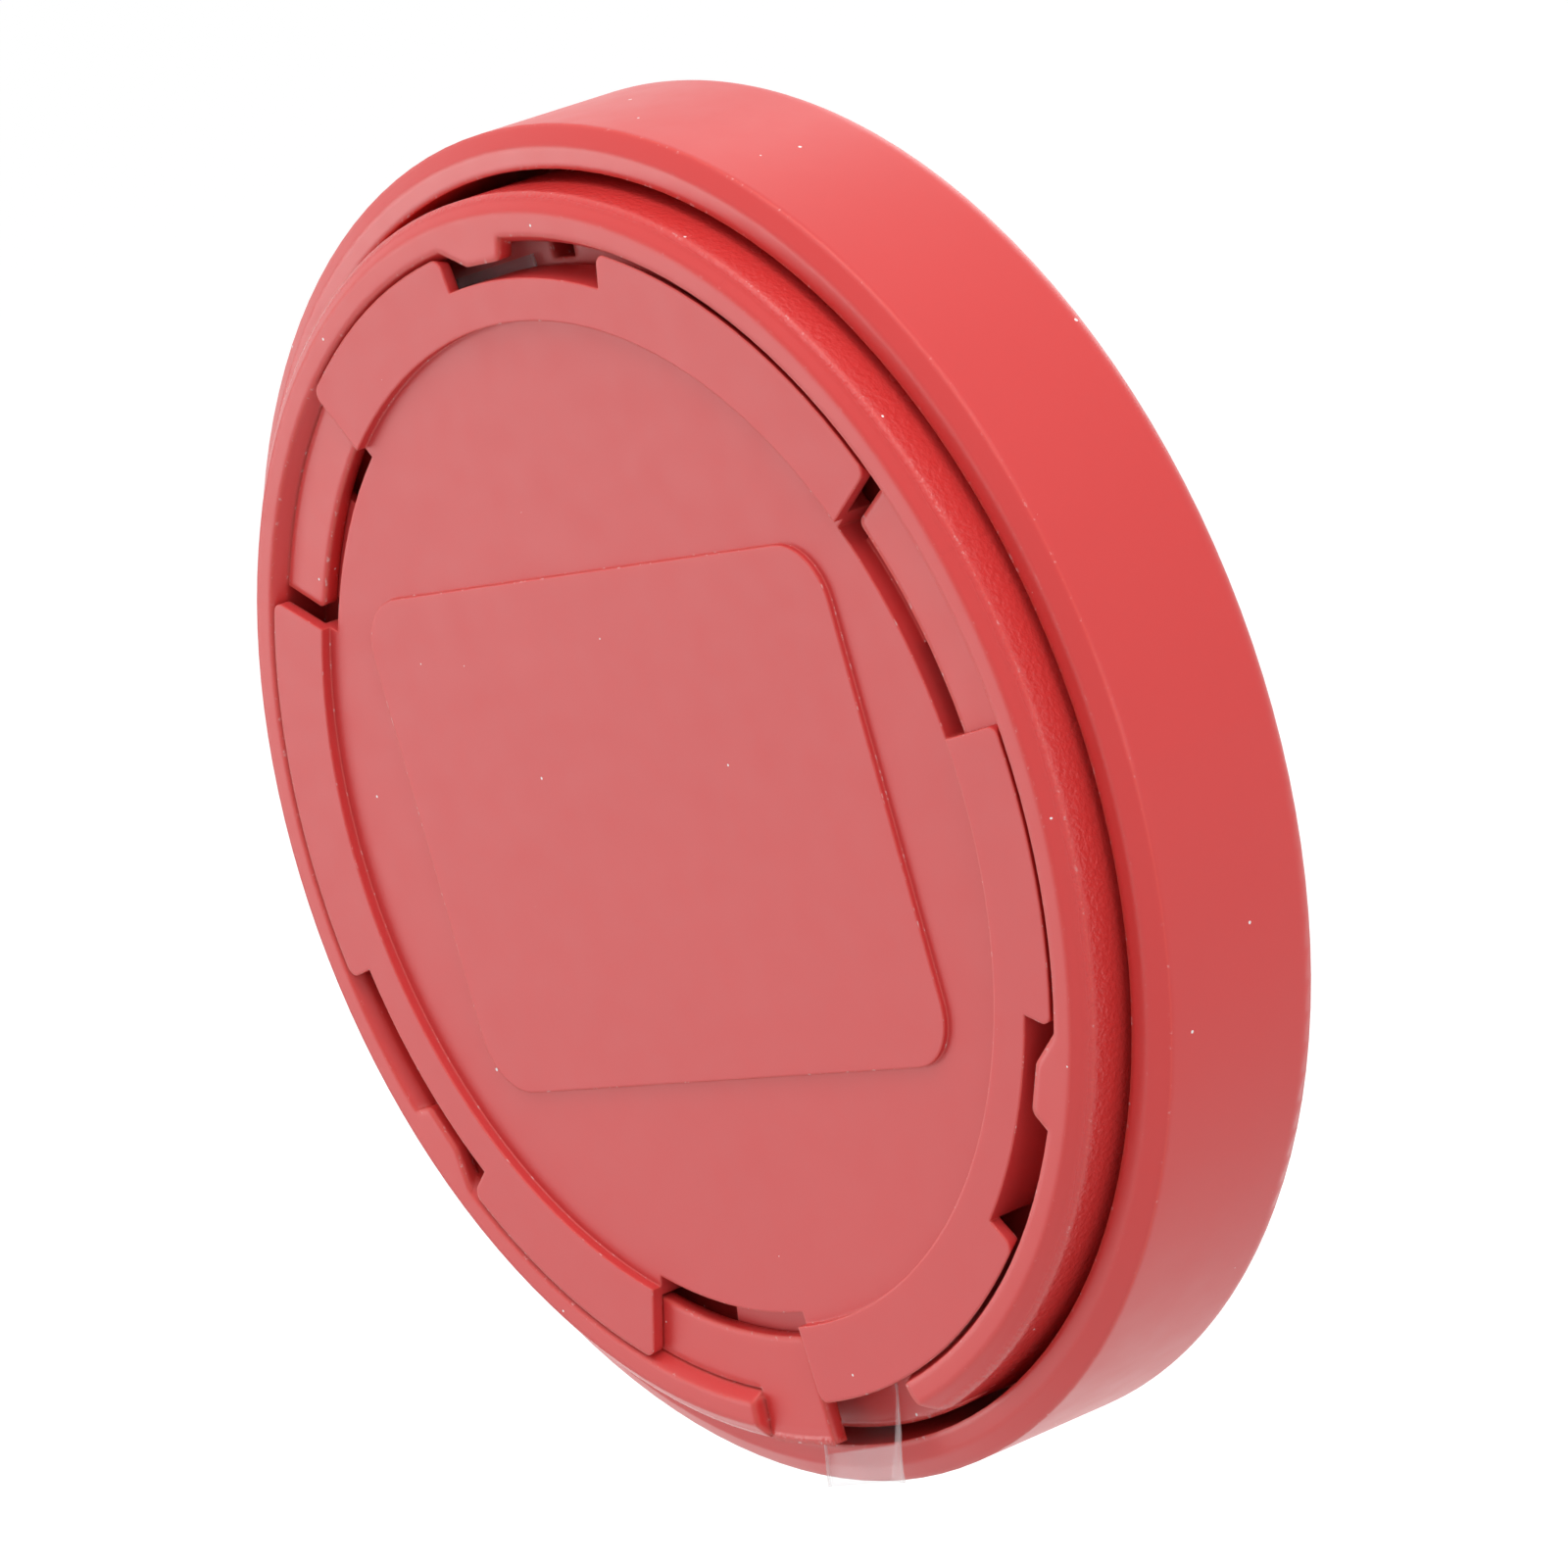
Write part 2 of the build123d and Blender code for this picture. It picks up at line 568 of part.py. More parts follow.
def coin_cell_lid():
    """Negative lid with a small shoulder round its raised face."""
    seat_depth = CELL_FRONT - CELL_LID_DEEP
    return turned([
        (0, CELL_FRONT),
        (CELL_LID_RADIUS - CELL_CRIMP, CELL_FRONT),
        (CELL_LID_RADIUS, CELL_FRONT - CELL_LID_STAND),
        (CELL_LID_RADIUS, seat_depth + CELL_SEAL_GAP),
        (0, seat_depth + CELL_SEAL_GAP),
    ])


def pull_tab_film():
    """Thin strip from the top of the deck, over the cell and out through the gap in the ring."""
    inner_y = BASE_INNER_RADIUS - FILM_INNER_GAP
    stretch = 1 / cos(radians(FILM_LEAN_ANGLE))
    reach_bend = (inner_y + BASE_INNER_RADIUS - FILM_BEND_INSET) * stretch
    reach_lift = (inner_y + CAP_INNER_RADIUS - FILM_LIFT_INSET) * stretch
    reach_end = (inner_y + CAP_RADIUS - FILM_END_INSET) * stretch
    line = [(0, FILM_INNER_DEPTH), (reach_bend, FILM_BEND_DEPTH),
            (reach_lift, FILM_LIFT_DEPTH), (reach_end, FILM_LIFT_DEPTH)]
    half = FILM_THICKNESS / 2
    side = [(reach, 0, half - depth) for reach, depth in line]
    side += [(reach, 0, -half - depth) for reach, depth in reversed(line)]
    strip = extrude(make_face(Polyline(*side, close=True)), FILM_WIDTH / 2, dir=(0, 1, 0), both=True)
    return Pos(FILM_INNER_X, inner_y) * Rot(0, 0, FILM_LEAN_ANGLE - 90) * strip


def positive_contact():
    """Sprung arm over the cell, with a riser through the deck and a foot on the board."""
    half = ARM_THICKNESS / 2
    tip = -ARM_TIP_PAST
    foot_end = ARM_RISER + ARM_FOOT
    rear_side = [(tip, ARM_DEPTH), (ARM_RISER + half, ARM_DEPTH), (ARM_RISER + half, BOARD_DEPTH - ARM_THICKNESS),
                 (foot_end, BOARD_DEPTH - ARM_THICKNESS)]
    front_side = [(foot_end, BOARD_DEPTH), (ARM_RISER - half, BOARD_DEPTH),
                  (ARM_RISER - half, ARM_DEPTH + ARM_THICKNESS), (tip, ARM_DEPTH + ARM_THICKNESS)]
    side = [(x, 0, -depth) for x, depth in rear_side + front_side]
    arm = extrude(make_face(Polyline(*side, close=True)), ARM_WIDTH / 2, dir=(0, 1, 0), both=True)
    tip_edges = arm.edges().filter_by(Axis.Z).sort_by(Axis.X)[:2]
    arm = fillet(tip_edges, ARM_WIDTH / 3)
    slit = SlotOverall(ARM_RISER - 2 * ARM_WIDTH, ARM_THICKNESS * 3)
    slit_middle = (ARM_RISER + tip) / 2 + ARM_WIDTH / 2
    return arm - slab(Pos(slit_middle, 0) * slit, ARM_DEPTH - OVERRUN / 2, ARM_DEPTH + ARM_THICKNESS + OVERRUN / 2)


def negative_contact():
    """Ring on the board with sprung fingers that reach up to the cell's lid."""
    ring_inner = NEGATIVE_RING_RADIUS - NEGATIVE_RING_WIDTH
    ring_rear = BOARD_DEPTH - NEGATIVE_THICKNESS
    contact = slab(Circle(NEGATIVE_RING_RADIUS) - Circle(ring_inner), ring_rear, BOARD_DEPTH)
    tip_rear = CELL_FRONT + NEGATIVE_LID_GAP
    tip = NEGATIVE_RING_RADIUS - NEGATIVE_FINGER_LENGTH
    root = ring_inner + NEGATIVE_RING_WIDTH / 2
    side = Polyline(
        (root, 0, -ring_rear),
        (tip, 0, -tip_rear),
        (tip, 0, -tip_rear - NEGATIVE_THICKNESS),
        (root, 0, -ring_rear - NEGATIVE_THICKNESS),
        close=True,
    )
    finger = extrude(make_face(side), NEGATIVE_FINGER_WIDTH / 2, dir=(0, 1, 0), both=True)
    for piece in all_round(finger):
        contact += piece
    return contact


def circuit_board():
    """Round board, notched for the cap's hooks and drilled for its screws."""
    outline = Sketch() + Circle(BOARD_RADIUS)
    notch_inner = HOOK_RADIUS - HOOK_THICKNESS - HOOK_GAP
    notch_half = HOOK_HALF_SPAN + HOOK_SIDE_ANGLE
    notch = sector(notch_inner, BOARD_RADIUS + OVERRUN, HOOK_ANGLE - notch_half, HOOK_ANGLE + notch_half)
    hole = Pos(*polar(SCREW_CIRCLE, SCREW_ANGLE)) * Circle(SCREW_RADIUS + BOARD_HOLE_GAP)
    for opening in all_round(notch) + all_round(hole):
        outline -= opening
    return slab(outline, BOARD_DEPTH, BOARD_FRONT)


def board_screw():
    """Pan-head screw seated on the board."""
    head_front = BOARD_FRONT + SCREW_HEAD_HEIGHT
    return Pos(*polar(SCREW_CIRCLE, SCREW_ANGLE)) * turned([
        (0, head_front),
        (SCREW_HEAD_RADIUS - SCREW_HEAD_CHAMFER, head_front),
        (SCREW_HEAD_RADIUS, head_front - SCREW_HEAD_CHAMFER),
        (SCREW_HEAD_RADIUS, BOARD_FRONT),
        (SCREW_RADIUS, BOARD_FRONT),
        (SCREW_RADIUS, BOARD_DEPTH - SCREW_ENGAGE),
        (0, BOARD_DEPTH - SCREW_ENGAGE),
    ])


def tact_switch_housing():
    """Square switch body with a round cavity for the dome."""
    wall_front = SWITCH_TOP - SWITCH_FRAME
    body = box_at(0, 0, SWITCH_WIDTH, SWITCH_WIDTH, BOARD_FRONT, wall_front, SWITCH_CORNER)
    return body - slab(Circle(SWITCH_CAVITY_RADIUS), BOARD_FRONT + SWITCH_FLOOR, wall_front)


def tact_switch_frame():
    """Sheet frame over the switch with two clips folded down its sides."""
    frame_back = SWITCH_TOP - SWITCH_FRAME
    plate = box_at(0, 0, SWITCH_WIDTH, SWITCH_WIDTH, frame_back, SWITCH_TOP, SWITCH_CORNER)
    plate -= slab(Circle(PLUNGER_RADIUS + PLUNGER_SIDE_GAP), frame_back, SWITCH_TOP)
    clip_x = SWITCH_WIDTH / 2 + SWITCH_FRAME / 2
    for side in (-1, 1):
        plate += box_at(side * clip_x, 0, SWITCH_FRAME, SWITCH_FRAME_LEG_WIDTH,
                        frame_back - SWITCH_FRAME_LEG, SWITCH_TOP)
    return plate


def tact_dome():
    """Sprung steel dome on the floor of the switch, drawn as a shallow cone with a flat crown."""
    floor = BOARD_FRONT + SWITCH_FLOOR
    crown = DOME_RADIUS / 2
    return turned([
        (0, floor + DOME_RISE - DOME_THICKNESS),
        (crown, floor + DOME_RISE - DOME_THICKNESS),
        (DOME_RADIUS, floor),
        (DOME_RADIUS, floor + DOME_THICKNESS),
        (crown, floor + DOME_RISE),
        (0, floor + DOME_RISE),
    ])


def tact_plunger():
    """Plunger through the frame, held in by a flange behind it."""
    flange_front = SWITCH_TOP - SWITCH_FRAME - PLUNGER_GAP
    stem = slab(Circle(PLUNGER_RADIUS), flange_front - PLUNGER_FLANGE, PLUNGER_TIP)
    return stem + slab(Circle(PLUNGER_FLANGE_RADIUS), flange_front - PLUNGER_FLANGE, flange_front)


def overtravel_pad():
    """Rubber pad on the board that the cap meets just past its travel."""
    front = CAP_INNER_DEPTH - PAD_CAP_GAP
    return Pos(*polar(PAD_CIRCLE, PAD_ANGLE)) * turned([
        (0, BOARD_FRONT),
        (PAD_RADIUS, BOARD_FRONT),
        (PAD_RADIUS, front - PAD_CHAMFER),
        (PAD_RADIUS - PAD_CHAMFER, front),
        (0, front),
    ])


def radio_module_board():
    """Small carrier board with a row of solder notches along both long sides."""
    outline = Sketch() + Rectangle(MODULE_WIDTH, MODULE_HEIGHT)
    for side in (-1, 1):
        for step in range(MODULE_PADS):
            pad_y = (step - (MODULE_PADS - 1) / 2) * MODULE_PAD_PITCH
            outline -= Pos(side * MODULE_WIDTH / 2, pad_y) * Rectangle(2 * MODULE_PAD_DEEP, MODULE_PAD_WIDTH)
    return slab(Pos(MODULE_X, 0) * outline, BOARD_FRONT, BOARD_FRONT + MODULE_THICKNESS)


def radio_shield():
    """Pressed can over the radio, open toward its board."""
    width = MODULE_WIDTH - 2 * SHIELD_MARGIN
    height = MODULE_HEIGHT - SHIELD_MARGIN - SHIELD_TOP_MARGIN
    middle_y = (SHIELD_MARGIN - SHIELD_TOP_MARGIN) / 2
    back = BOARD_FRONT + MODULE_THICKNESS
    can = box_at(MODULE_X, middle_y, width, height, back, back + SHIELD_HEIGHT, SHIELD_CORNER)
    return can - box_at(MODULE_X, middle_y, width - 2 * SHIELD_WALL, height - 2 * SHIELD_WALL,
                        back, back + SHIELD_HEIGHT - SHIELD_WALL)


def crystal():
    """Oscillator package with a stepped lid."""
    y = MODULE_HEIGHT / 2 + CRYSTAL_GAP + CRYSTAL_WIDTH / 2
    top = BOARD_FRONT + CRYSTAL_HEIGHT
    body = box_at(MODULE_X, y, CRYSTAL_LENGTH, CRYSTAL_WIDTH, BOARD_FRONT, top - CRYSTAL_LID)
    lid_length = CRYSTAL_LENGTH - 2 * CRYSTAL_LID_MARGIN
    lid_width = CRYSTAL_WIDTH - 2 * CRYSTAL_LID_MARGIN
    return body + box_at(MODULE_X, y, lid_length, lid_width, top - CRYSTAL_LID, top)


def status_led():
    """Surface lamp under the light pipe."""
    body = box_at(0, LIGHT_Y, LED_LENGTH, LED_WIDTH, BOARD_FRONT, BOARD_FRONT + LED_HEIGHT / 2)
    lens = box_at(0, LIGHT_Y, LED_LENGTH - 2 * CHIP_CAP_LENGTH, LED_WIDTH,
                  BOARD_FRONT + LED_HEIGHT / 2, BOARD_FRONT + LED_HEIGHT)
    return body + lens


def chip(x, y, height):
    """Two-ended chip part: a body between two slightly prouder end caps."""
    body = box_at(x, y, CHIP_LENGTH, CHIP_WIDTH, BOARD_FRONT, BOARD_FRONT + height - CHIP_CAP_STAND)
    for side in (-1, 1):
        cap_x = x + side * (CHIP_LENGTH - CHIP_CAP_LENGTH) / 2
        body += box_at(cap_x, y, CHIP_CAP_LENGTH, CHIP_WIDTH, BOARD_FRONT, BOARD_FRONT + height)
    return body


def board_antenna():
    """Meandering trace on the front of the board."""
    trace = Sketch()
    for leg in range(ANTENNA_LEGS):
        x = ANTENNA_X + leg * ANTENNA_PITCH
        trace += Pos(x, ANTENNA_Y - ANTENNA_LEG / 2) * Rectangle(ANTENNA_TRACE, ANTENNA_LEG)
        if leg:
            end = ANTENNA_Y if leg % 2 else ANTENNA_Y - ANTENNA_LEG
            bridge = Rectangle(ANTENNA_PITCH + ANTENNA_TRACE, ANTENNA_TRACE)
            trace += Pos(x - ANTENNA_PITCH / 2, end) * bridge
    return slab(trace, BOARD_FRONT, BOARD_FRONT + ANTENNA_THICKNESS)


def save_all():
    single_pieces = [
        front_cap, light_pipe, base_housing, battery_door, coin_cell_can, coin_cell_gasket,
        coin_cell_lid, pull_tab_film, positive_contact, negative_contact, circuit_board,
        tact_switch_housing, tact_switch_frame, tact_dome, tact_plunger, radio_module_board,
        radio_shield, crystal, status_led, board_antenna,
    ]
    for piece in single_pieces:
        save(piece(), piece.__name__)
    for piece in (board_screw, overtravel_pad):
        for number, shape in enumerate(all_round(piece()), start=1):
            save(shape, f"{piece.__name__}_{number}")
    for number in range(CAPACITOR_COUNT):
        shape = chip(CHIP_COLUMN, CHIP_FIRST_Y - number * CHIP_PITCH, CAPACITOR_HEIGHT)
        save(shape, f"chip_capacitor_{number + 1}")
    for number in range(RESISTOR_COUNT):
        shape = chip(CHIP_COLUMN + CHIP_COLUMN_PITCH, CHIP_FIRST_Y - number * CHIP_PITCH, RESISTOR_HEIGHT)
        save(shape, f"chip_resistor_{number + 1}")


save_all()
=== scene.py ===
import math

import bpy
from mathutils import Matrix, Vector


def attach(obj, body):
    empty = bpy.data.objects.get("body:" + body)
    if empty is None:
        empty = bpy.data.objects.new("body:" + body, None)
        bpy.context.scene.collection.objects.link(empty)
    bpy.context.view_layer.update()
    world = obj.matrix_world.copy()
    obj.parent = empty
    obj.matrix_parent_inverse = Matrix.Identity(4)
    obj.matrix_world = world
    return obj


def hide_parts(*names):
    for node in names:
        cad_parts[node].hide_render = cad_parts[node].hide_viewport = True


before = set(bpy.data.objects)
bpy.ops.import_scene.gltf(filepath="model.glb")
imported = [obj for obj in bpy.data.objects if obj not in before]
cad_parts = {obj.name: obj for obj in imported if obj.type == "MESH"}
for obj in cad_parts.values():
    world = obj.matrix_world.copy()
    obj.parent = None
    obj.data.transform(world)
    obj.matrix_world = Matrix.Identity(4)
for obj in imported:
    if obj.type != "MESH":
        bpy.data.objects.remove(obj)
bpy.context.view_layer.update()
scene = bpy.context.scene
MM = 0.001

# Camera at the photograph's viewpoint, in the row's frame
CAMERA_PLACE = (-0.26708, 0.18595, 0.04003)
CAMERA_RIGHT = (-0.58912, -0.76192, -0.26911)
CAMERA_UP = (-0.06352, -0.28833, 0.95542)
CAMERA_LENS = 213.96
CAMERA_SENSOR = 36.0

# Floor, which lies below the pull tab at its farthest, and level of the surroundings
FLOOR_Z = -76 * MM
FLOOR_RADIUS = 6.0
FLOOR_SIDES = 96
FLOOR_GREY = (0.5, 0.5, 0.5)
FLOOR_GLOW = 0.62
WHITE = (1, 1, 1)
AMBIENT = 0.76

# Softboxes that face the button: place, side in metres, watts
SOFTBOXES = {
    "key": ((-0.10, 0.18, 0.60), 0.40, 1.3),
    "sheen": ((0.65, 0.46, -0.01), 0.45, 2.4),
    "side": ((-0.50, 0.06, 0.54), 0.22, 1.2),
    "fill": ((-0.66, 0.06, -0.16), 0.45, 2.3),
    "front": ((0.20, -0.60, 0.30), 0.45, 0.9),
}

# Red moulded plastic; colours are linear
RED = (0.62, 0.040, 0.038)
RED_DEEP = (0.60, 0.037, 0.036)
RED_PALE = (0.64, 0.044, 0.042)
# The edge red is a painted highlight along the edges
RED_EDGE_HIGHLIGHT = (0.86, 0.105, 0.075)
# The door's paler, greyer red is a painted sheen on its rear faces
REAR_RED_PAINTED_SHEEN = (0.585, 0.049, 0.050)
CLOUD_SCALE = 90
MOTTLE_SCALE = 2600
MOTTLE_SHARE = 0.25
TONE_SHARE = 0.55
EDGE_FLATNESS = (0.80, 0.985)
# Share of the painted edge highlight
EDGE_HIGHLIGHT_SHARE = 0.45
SCUFF_SCALE = 3200
SCUFF_SHARE = 0.5
GLOSS_SCALE = 700
GLOSS_RANGE = 0.10
RED_IOR = 1.5
GLOW_WEIGHT = 0.20
GLOW_RADIUS = (1.0, 0.25, 0.2)
GLOW_SCALE = 0.8 * MM

# Dust: one speck at most in each cell
DUST = (0.85, 0.80, 0.80)
DUST_CELL = 2.8 * MM
DUST_SIZE = 0.065 * MM
FACING = 0.6

# Base ring: eroded side wall, and seams across its chamfer
RING_RADIUS = 23.0 * MM
RING_WALL = (RING_RADIUS - 0.30 * MM, RING_RADIUS - 0.10 * MM)
RING_CHAMFER = (22.4 * MM, 22.48 * MM)
RING_GLOSS = 0.08
PIT_SIZE = 0.22 * MM
PIT_DEPTH = 0.045 * MM
SEAM_ANGLES = (21.5, 54.9, 139.8)
SEAM_HALF_WIDTH = 0.045 * MM
SEAM_DEPTH = 0.03 * MM
SEAM_SHADE = 0.35

# Pull tab film, seen from behind: x to the right, y up, depth toward the front
FILM_INNER = (-2.5 * MM, 20.3 * MM)
FILM_LEAN = math.radians(4.5)
FILM_HALF_WIDTH = 2.5 * MM
FILM_THICKNESS = 0.1 * MM
FILM_REACHES = (0 * MM, 41.68 * MM, 43.69 * MM, 45.0 * MM)
FILM_DEPTHS = (2.10 * MM, 1.65 * MM, 1.30 * MM, 0.90 * MM)
FILM_BEND = 0.35 * MM
FILM_LIP_REACH = 43.9 * MM
FILM_CURL_START = 41.9 * MM
FILM_CURL_WIDTH = 0.70 * MM
FILM_CURL_RISE = 0.30 * MM
FILM_CURL_POWER = 1.3
FILM_END_SKEW = 0.15 * MM

# Its rows along it, few over the cell and close at the gap, and its columns, close at the curl
FILM_COARSE_STEPS = 40
FILM_COARSE_ROWS = 37
FILM_FINE_ROWS = 26
FILM_COLUMNS = [-1 + 0.25 * i for i in range(7)] + [0.66, 0.74, 0.80, 0.85, 0.90, 0.94, 0.97, 1.0]

# Its look: opacity of clear and hazed film, and the haze's share by place, kept off the gap as painted shade
FILM_TINT = (0.70, 0.64, 0.66)
FILM_STAIN = (0.58, 0.54, 0.56)
# The tint of the curl and the cut edges is a painted highlight
FILM_HIGHLIGHT_TINT = (0.88, 0.82, 0.83)
FILM_CLEAR = 0.008
FILM_HAZE = 0.17
FILM_COVERED = (FILM_CURL_START - 1.4 * MM, FILM_CURL_START - 0.6 * MM)
FILM_OUTSIDE = (FILM_LIP_REACH - 0.05 * MM, FILM_LIP_REACH + 0.05 * MM)
FILM_EDGE = 0.07 * MM
COVERED_HAZE = 1.5
CURL_HAZE = 1.5
EDGE_HAZE = 1.8

# Plated metals: dark and light colour, roughness
METALS = {
    "cell_steel": ((0.48, 0.48, 0.49), (0.68, 0.68, 0.68), 0.22),
    "sheet_steel": ((0.42, 0.42, 0.43), (0.60, 0.60, 0.61), 0.30),
    "contact_metal": ((0.50, 0.46, 0.36), (0.72, 0.68, 0.56), 0.20),
    "screw_steel": ((0.35, 0.36, 0.38), (0.55, 0.56, 0.58), 0.26),
    "copper_trace": ((0.50, 0.26, 0.12), (0.68, 0.38, 0.18), 0.34),
}
METAL_GRAIN = 0.12 * MM
METAL_STRETCH = (1.0, 0.15, 1.0)
METAL_BUMP = 0.004 * MM
SMALL_EDGE = 0.03 * MM

# Moulded, coated and fired surfaces: dark and light colour, roughness, grain, bump, share of flecks
SOLIDS = {
    "black_polymer": ((0.012, 0.012, 0.013), (0.03, 0.03, 0.032), 0.42, 0.1 * MM, 0.004 * MM, 0),
    "white_polymer": ((0.74, 0.73, 0.70), (0.84, 0.83, 0.81), 0.25, 0.2 * MM, 0.003 * MM, 0),
    "board_laminate": ((0.010, 0.012, 0.013), (0.022, 0.025, 0.027), 0.30, 0.3 * MM, 0.004 * MM, 0.05),
    "pad_rubber": ((0.02, 0.02, 0.02), (0.05, 0.05, 0.05), 0.70, 0.08 * MM, 0.01 * MM, 0),
    "chip_ceramic": ((0.22, 0.14, 0.08), (0.32, 0.21, 0.13), 0.40, 0.1 * MM, 0.005 * MM, 0),
    "chip_black": ((0.010, 0.010, 0.011), (0.03, 0.03, 0.03), 0.28, 0.1 * MM, 0.003 * MM, 0),
}
FLECK_CELL = 0.9 * MM
FLECK_SIZE = 0.06 * MM

# Finish of each CAD node; a numbered node goes by its name without the number
FINISH_OF = {
    "front_cap": "red_cap", "base_housing": "red_ring", "battery_door": "red_door",
    "light_pipe": "clear_plastic",
    "coin_cell_can": "cell_steel", "coin_cell_lid": "cell_steel", "coin_cell_gasket": "black_polymer",
    "positive_contact": "contact_metal", "negative_contact": "contact_metal",
    "circuit_board": "board_laminate", "radio_module_board": "board_laminate",
    "board_antenna": "copper_trace", "radio_shield": "sheet_steel", "crystal": "sheet_steel",
    "tact_switch_housing": "black_polymer", "tact_switch_frame": "sheet_steel",
    "tact_dome": "sheet_steel", "tact_plunger": "white_polymer", "status_led": "white_polymer",
    "board_screw": "screw_steel", "overtravel_pad": "pad_rubber",
    "chip_capacitor": "chip_ceramic", "chip_resistor": "chip_black",
}


def set_camera():
    """Camera with the photograph's place, tilt and lens."""
    data = bpy.data.cameras.new("camera")
    data.sensor_fit = "AUTO"
    data.sensor_width = CAMERA_SENSOR
    data.lens = CAMERA_LENS
    data.clip_start = 0.01
    data.clip_end = 50
    camera = bpy.data.objects.new("camera", data)
    right = Vector(CAMERA_RIGHT).normalized()
    back = right.cross(Vector(CAMERA_UP)).normalized()
    up = back.cross(right)
    turn = Matrix((right, up, back)).transposed()
    camera.matrix_world = Matrix.Translation(CAMERA_PLACE) @ turn.to_4x4()
    scene.collection.objects.link(camera)
    scene.camera = camera


def new_material(name):
    """A material, its node tree and its principled shader."""
    material = bpy.data.materials.new(name)
    material.use_nodes = True
    tree = material.node_tree
    return material, tree, tree.nodes["Principled BSDF"]


def node(tree, kind, inputs=None, **settings):
    """Add a node, set its properties, and set or link its inputs."""
    made = tree.nodes.new(kind)
    for key, value in settings.items():
        setattr(made, key, value)
    for key, value in (inputs or {}).items():
        if isinstance(value, bpy.types.NodeSocket):
            tree.links.new(value, made.inputs[key])
        else:
            made.inputs[key].default_value = value
    return made


def math_node(tree, operation, first, second=0.0, clamp=False):
    """Result of one operation on numbers or sockets."""
    inputs = {0: first, 1: second}
    return node(tree, "ShaderNodeMath", inputs, operation=operation, use_clamp=clamp).outputs[0]


def total(tree, first, second):
    return math_node(tree, "ADD", first, second)


def difference(tree, first, second):
    return math_node(tree, "SUBTRACT", first, second)


def product(tree, first, second):
    return math_node(tree, "MULTIPLY", first, second)


def larger(tree, first, second):
    return math_node(tree, "MAXIMUM", first, second)


def above(tree, first, second):
    """1 where the first is greater than the second, else 0."""
    return math_node(tree, "GREATER_THAN", first, second)


def below(tree, first, second):
    """1 where the first is less than the second, else 0."""
    return math_node(tree, "LESS_THAN", first, second)


def ramp(tree, value, low, high):
    """0 below low, 1 above high, smooth between."""
    return node(tree, "ShaderNodeMapRange", {"Value": value, "From Min": low, "From Max": high},
                interpolation_type="SMOOTHSTEP").outputs[0]


def place(tree):
    """The point on the surface in metres, which stays with the piece."""
    return node(tree, "ShaderNodeTexCoord").outputs["Object"]


def true_normal(tree):
    """The surface's own normal, with no bump."""
    return node(tree, "ShaderNodeNewGeometry").outputs["Normal"]


def noise(tree, scale, detail=2.0, roughness=0.5, where=None):
    """Noise from 0 to 1, its scale in waves to the metre."""
    return node(tree, "ShaderNodeTexNoise", {"Vector": where or place(tree), "Scale": scale, "Detail": detail,
                                             "Roughness": roughness}).outputs["Fac"]


def mix_colour(tree, factor, first, second):
    """Blend from the first colour to the second, each a socket or linear RGB."""
    inputs = {0: factor}
    for key, colour in ((6, first), (7, second)):
        inputs[key] = colour if isinstance(colour, bpy.types.NodeSocket) else (*colour, 1)
    return node(tree, "ShaderNodeMix", inputs, data_type="RGBA").outputs[2]


def along(tree, direction, offset):
    """Distance of the surface point along a direction, less an offset."""
    dotted = node(tree, "ShaderNodeVectorMath", {0: place(tree), 1: direction}, operation="DOT_PRODUCT")
    return difference(tree, dotted.outputs["Value"], offset)


def radius_and_angle(tree):
    """Distance from the press axis, and angle counter-clockwise seen from behind."""
    parts = node(tree, "ShaderNodeSeparateXYZ", {0: place(tree)})
    x, z = parts.outputs["X"], parts.outputs["Z"]
    squares = total(tree, product(tree, x, x), product(tree, z, z))
    angle = math_node(tree, "ARCTAN2", z, product(tree, x, -1.0))
    return math_node(tree, "SQRT", squares), angle


def rounded_normal(tree, radius):
    """The normal of the surface with its edges rounded off."""
    return node(tree, "ShaderNodeBevel", {"Radius": radius}, samples=8).outputs[0]


def bumped(tree, height, distance, strength, normal=None):
    """A normal with fine relief over it."""
    inputs = {"Height": height, "Distance": distance, "Strength": strength}
    if normal:
        inputs["Normal"] = normal
    return node(tree, "ShaderNodeBump", inputs).outputs[0]


def specks(tree, across, upward, cell, size, share):
    """Tiny specks on a flattened surface, one in each of a share of the cells."""
    where = node(tree, "ShaderNodeCombineXYZ", {"X": across, "Y": upward}).outputs[0]
    cells = node(tree, "ShaderNodeTexVoronoi", {"Vector": where, "Scale": 1 / cell, "Randomness": 1.0},
                 voronoi_dimensions="2D")
    chosen = node(tree, "ShaderNodeSeparateColor", {0: cells.outputs["Color"]}).outputs
    reach = product(tree, chosen[1], size / cell)
    near = below(tree, cells.outputs["Distance"], reach)
    return product(tree, near, above(tree, chosen[0], 1 - share))


def dust_mask(tree, cell, size, share):
    """Specks on the faces that look back or forward, and others round the side."""
    parts = node(tree, "ShaderNodeSeparateXYZ", {0: place(tree)}).outputs
    angle = radius_and_angle(tree)[1]
    flat = specks(tree, parts["X"], parts["Z"], cell, size, share)
    side = specks(tree, product(tree, angle, RING_RADIUS), parts["Y"], cell, size, share)
    lean = node(tree, "ShaderNodeSeparateXYZ", {0: true_normal(tree)}).outputs["Y"]
    facing = above(tree, math_node(tree, "ABSOLUTE", lean), FACING)
    return larger(tree, product(tree, flat, facing), product(tree, side, difference(tree, 1.0, facing)))


